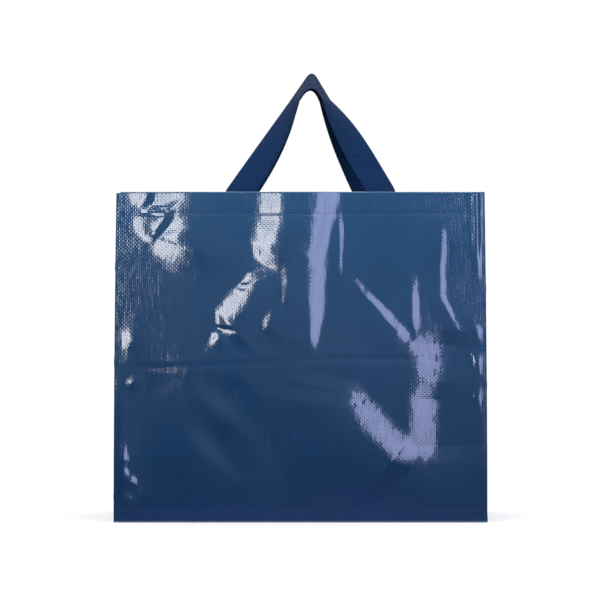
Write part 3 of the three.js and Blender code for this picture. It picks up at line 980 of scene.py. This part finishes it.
def make_world(scene):
    """White where it is seen, and a dim grey fill where it lights."""
    world = bpy.data.worlds.new("studio_world")
    world.use_nodes = True
    tree = world.node_tree
    tree.nodes.clear()
    seen = seen_directly(tree)
    level = add_node(tree, "ShaderNodeMapRange", {0: seen, 1: 0.0, 2: 1.0, 3: 0.06, 4: 1.0}).outputs[0]
    background = add_node(tree, "ShaderNodeBackground", {0: (1, 1, 1, 1), 1: level})
    add_node(tree, "ShaderNodeOutputWorld", {0: background.outputs[0]})
    scene.world = world


def make_floor(scene):
    """A pale floor that keeps the bag's shadow nearby and goes over into white further out."""
    half = 6.0
    corners = np.array([(-half, -half, 0), (half, -half, 0), (half, half, 0), (-half, half, 0)])
    mesh = quad_mesh("floor", corners, np.array([[0, 1, 2, 3]]))
    material, tree = new_material("pale_painted_floor")
    spot = add_node(tree, "ShaderNodeTexCoord")
    reach = add_node(
        tree, "ShaderNodeVectorMath", {0: spot.outputs["Object"]}, operation="LENGTH"
    ).outputs["Value"]
    far = add_node(
        tree,
        "ShaderNodeMapRange",
        {0: reach, 1: 0.15, 2: 0.6, 3: 0.55, 4: 1.0},
        interpolation_type="SMOOTHSTEP",
    ).outputs[0]
    seen = seen_directly(tree)
    share = add_node(tree, "ShaderNodeMath", {0: far, 1: seen}, operation="MULTIPLY").outputs[0]
    paint = add_node(tree, "ShaderNodeBsdfDiffuse", {0: (*linear("#F4F4F4"), 1)})
    white = add_node(tree, "ShaderNodeEmission", {0: (1, 1, 1, 1), 1: 1.0})
    both = add_node(tree, "ShaderNodeMixShader", {0: share, 1: paint.outputs[0], 2: white.outputs[0]})
    add_node(tree, "ShaderNodeOutputMaterial", {"Surface": both.outputs[0]})
    mesh.materials.append(material)
    floor = bpy.data.objects.new("floor", mesh)
    scene.collection.objects.link(floor)
    floor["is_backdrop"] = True


def make_dark_wall(scene):
    """The dim studio round the set, for the gloss to mirror: a wide low bowl that the camera doesn't see."""
    rings = ((0.01, 0.01, 0.002), (5.0, 5.0, 0.002), (5.0, 5.0, 5.0))
    sides = 48
    angle = np.linspace(0, 2 * np.pi, sides + 1)[:-1]
    circle = np.stack([np.cos(angle), np.sin(angle), np.ones(sides)], -1)
    vertices = np.concatenate([circle * ring for ring in rings])
    index = np.arange(sides)
    onward = np.roll(index, -1)
    band = np.stack([index, index + sides, onward + sides, onward], -1)
    mesh = quad_mesh("dark_wall", vertices, np.concatenate([band, band + sides]))
    material, tree = new_material("dim_studio_cloth")
    path = add_node(tree, "ShaderNodeLightPath")
    spot = add_node(tree, "ShaderNodeTexCoord")
    reach = add_node(
        tree, "ShaderNodeVectorMath", {0: spot.outputs["Object"]}, operation="LENGTH"
    ).outputs["Value"]
    pale = add_node(
        tree,
        "ShaderNodeMapRange",
        {0: reach, 1: 0.12, 2: 0.7, 3: 2.2, 4: 1.0},
        interpolation_type="SMOOTHSTEP",
    ).outputs[0]
    mirrored = path.outputs["Is Glossy Ray"]
    level = add_node(tree, "ShaderNodeMath", {0: pale, 1: mirrored}, operation="MULTIPLY")
    glow = add_node(tree, "ShaderNodeEmission", {0: (*linear("#494382"), 1), 1: level.outputs[0]})
    clear = add_node(tree, "ShaderNodeBsdfTransparent")
    facing = add_node(tree, "ShaderNodeNewGeometry")
    one_sided = add_node(
        tree, "ShaderNodeMixShader", {0: facing.outputs["Backfacing"], 1: glow.outputs[0], 2: clear.outputs[0]}
    )
    add_node(tree, "ShaderNodeOutputMaterial", {"Surface": one_sided.outputs[0]})
    mesh.materials.append(material)
    wall = bpy.data.objects.new("dark_wall", mesh)
    wall.visible_camera = False
    wall.visible_shadow = False
    scene.collection.objects.link(wall)
    wall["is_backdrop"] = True


def make_camera(scene):
    """A long lens, level with the middle of the picture and straight in front of the bag."""
    data = bpy.data.cameras.new("camera")
    front_distance = 3.4
    view_width = 0.722
    data.sensor_width = 36.0
    data.lens = data.sensor_width * front_distance / view_width
    camera = bpy.data.objects.new("camera", data)
    camera.location = (-0.0006, -3.5, 0.268)
    camera.rotation_euler = (math.radians(90), 0, 0)
    scene.collection.objects.link(camera)
    scene.camera = camera


class CARRIERBAG_PT_panel(bpy.types.Panel):
    """The bag's sizes, colours and making, in the sidebar"""

    bl_idname = "CARRIERBAG_PT_panel"
    bl_label = "Carrier Bag"
    bl_space_type = "VIEW_3D"
    bl_region_type = "UI"
    bl_category = "Carrier Bag"

    def draw(self, context):
        for group in (context.scene.bag_sizes, context.scene.bag_colours):
            box = self.layout.box()
            for key in group.bl_rna.properties.keys():
                if key not in ("rna_type", "name"):
                    box.prop(group, key)
        for operator in OPERATORS:
            self.layout.operator(operator.bl_idname)


OPERATORS = (
    CARRIERBAG_OT_walls,
    CARRIERBAG_OT_gussets,
    CARRIERBAG_OT_base,
    CARRIERBAG_OT_handles,
    CARRIERBAG_OT_sewing,
    CARRIERBAG_OT_stage,
)
CLASSES = (BagSizes, BagColours, *OPERATORS, CARRIERBAG_PT_panel)


def register():
    """Registers the classes and hangs the settings on the scene."""
    for one in CLASSES:
        bpy.utils.register_class(one)
    bpy.types.Scene.bag_sizes = bpy.props.PointerProperty(type=BagSizes)
    bpy.types.Scene.bag_colours = bpy.props.PointerProperty(type=BagColours)


def unregister():
    """Takes the settings and the classes away again."""
    del bpy.types.Scene.bag_colours
    del bpy.types.Scene.bag_sizes
    for one in reversed(CLASSES):
        bpy.utils.unregister_class(one)


def main():
    """Makes the bag and its studio in order."""
    register()
    bpy.ops.carrierbag.walls()
    bpy.ops.carrierbag.gussets()
    bpy.ops.carrierbag.base()
    bpy.ops.carrierbag.handles()
    bpy.ops.carrierbag.sewing()
    bpy.ops.carrierbag.stage()


if __name__ == "__main__":
    main()
